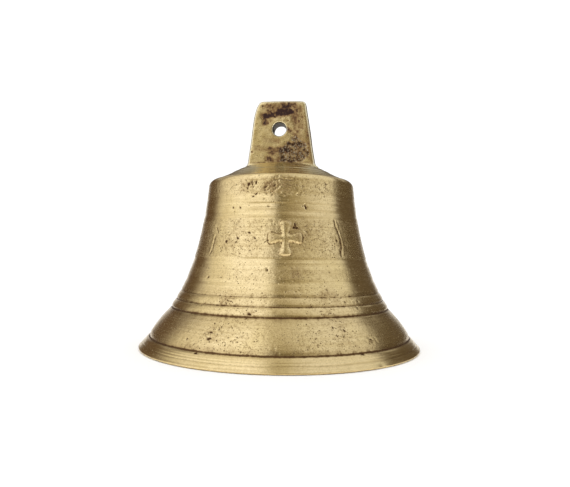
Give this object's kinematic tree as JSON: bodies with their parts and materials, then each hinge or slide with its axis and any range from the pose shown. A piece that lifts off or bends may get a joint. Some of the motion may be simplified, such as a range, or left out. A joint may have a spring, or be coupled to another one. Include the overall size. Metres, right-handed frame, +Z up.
{
  "type": "sanctus bell",
  "caption": "Cast-brass flared sanctus bell with a drilled hanging lug, turned bands and an iron-linked ball clapper inside.",
  "frame": {"origin": "centre of the rim plane, on which the bell stands", "axes": "+Z up along the bell's turning axis towards the lug; the lug plate lies in the XZ plane and its bore runs along Y; -Y is the front with the raised cross"},
  "size_m": [0.087, 0.087, 0.077],
  "materials": {
    "bell_brass": "cast and turned brass, satin, with pits and brown stains on the lug",
    "staple_iron": "dark iron wire with light rust",
    "clapper_steel": "worn drawn steel wire",
    "ball_brass": "duller turned brass with wear at the strike line"
  },
  "bodies": {
    "bell": {"bell_body": "bell_brass", "clapper_staple": "staple_iron"},
    "link": {"clapper_link": "clapper_steel"},
    "clapper": {"clapper_shank": "clapper_steel", "clapper_ball": "ball_brass"}
  },
  "joints": [
    {"name": "link_swing", "type": "hinge", "parent": "bell", "child": "link", "pos_m": [0, 0, 0.0435], "axis": [0, 1, 0], "range_deg": [-33, 33]},
    {"name": "clapper_rock", "type": "hinge", "parent": "link", "child": "clapper", "pos_m": [0, 0, 0.0359], "axis": [1, 0, 0], "range_deg": [-12, 12]}
  ]
}
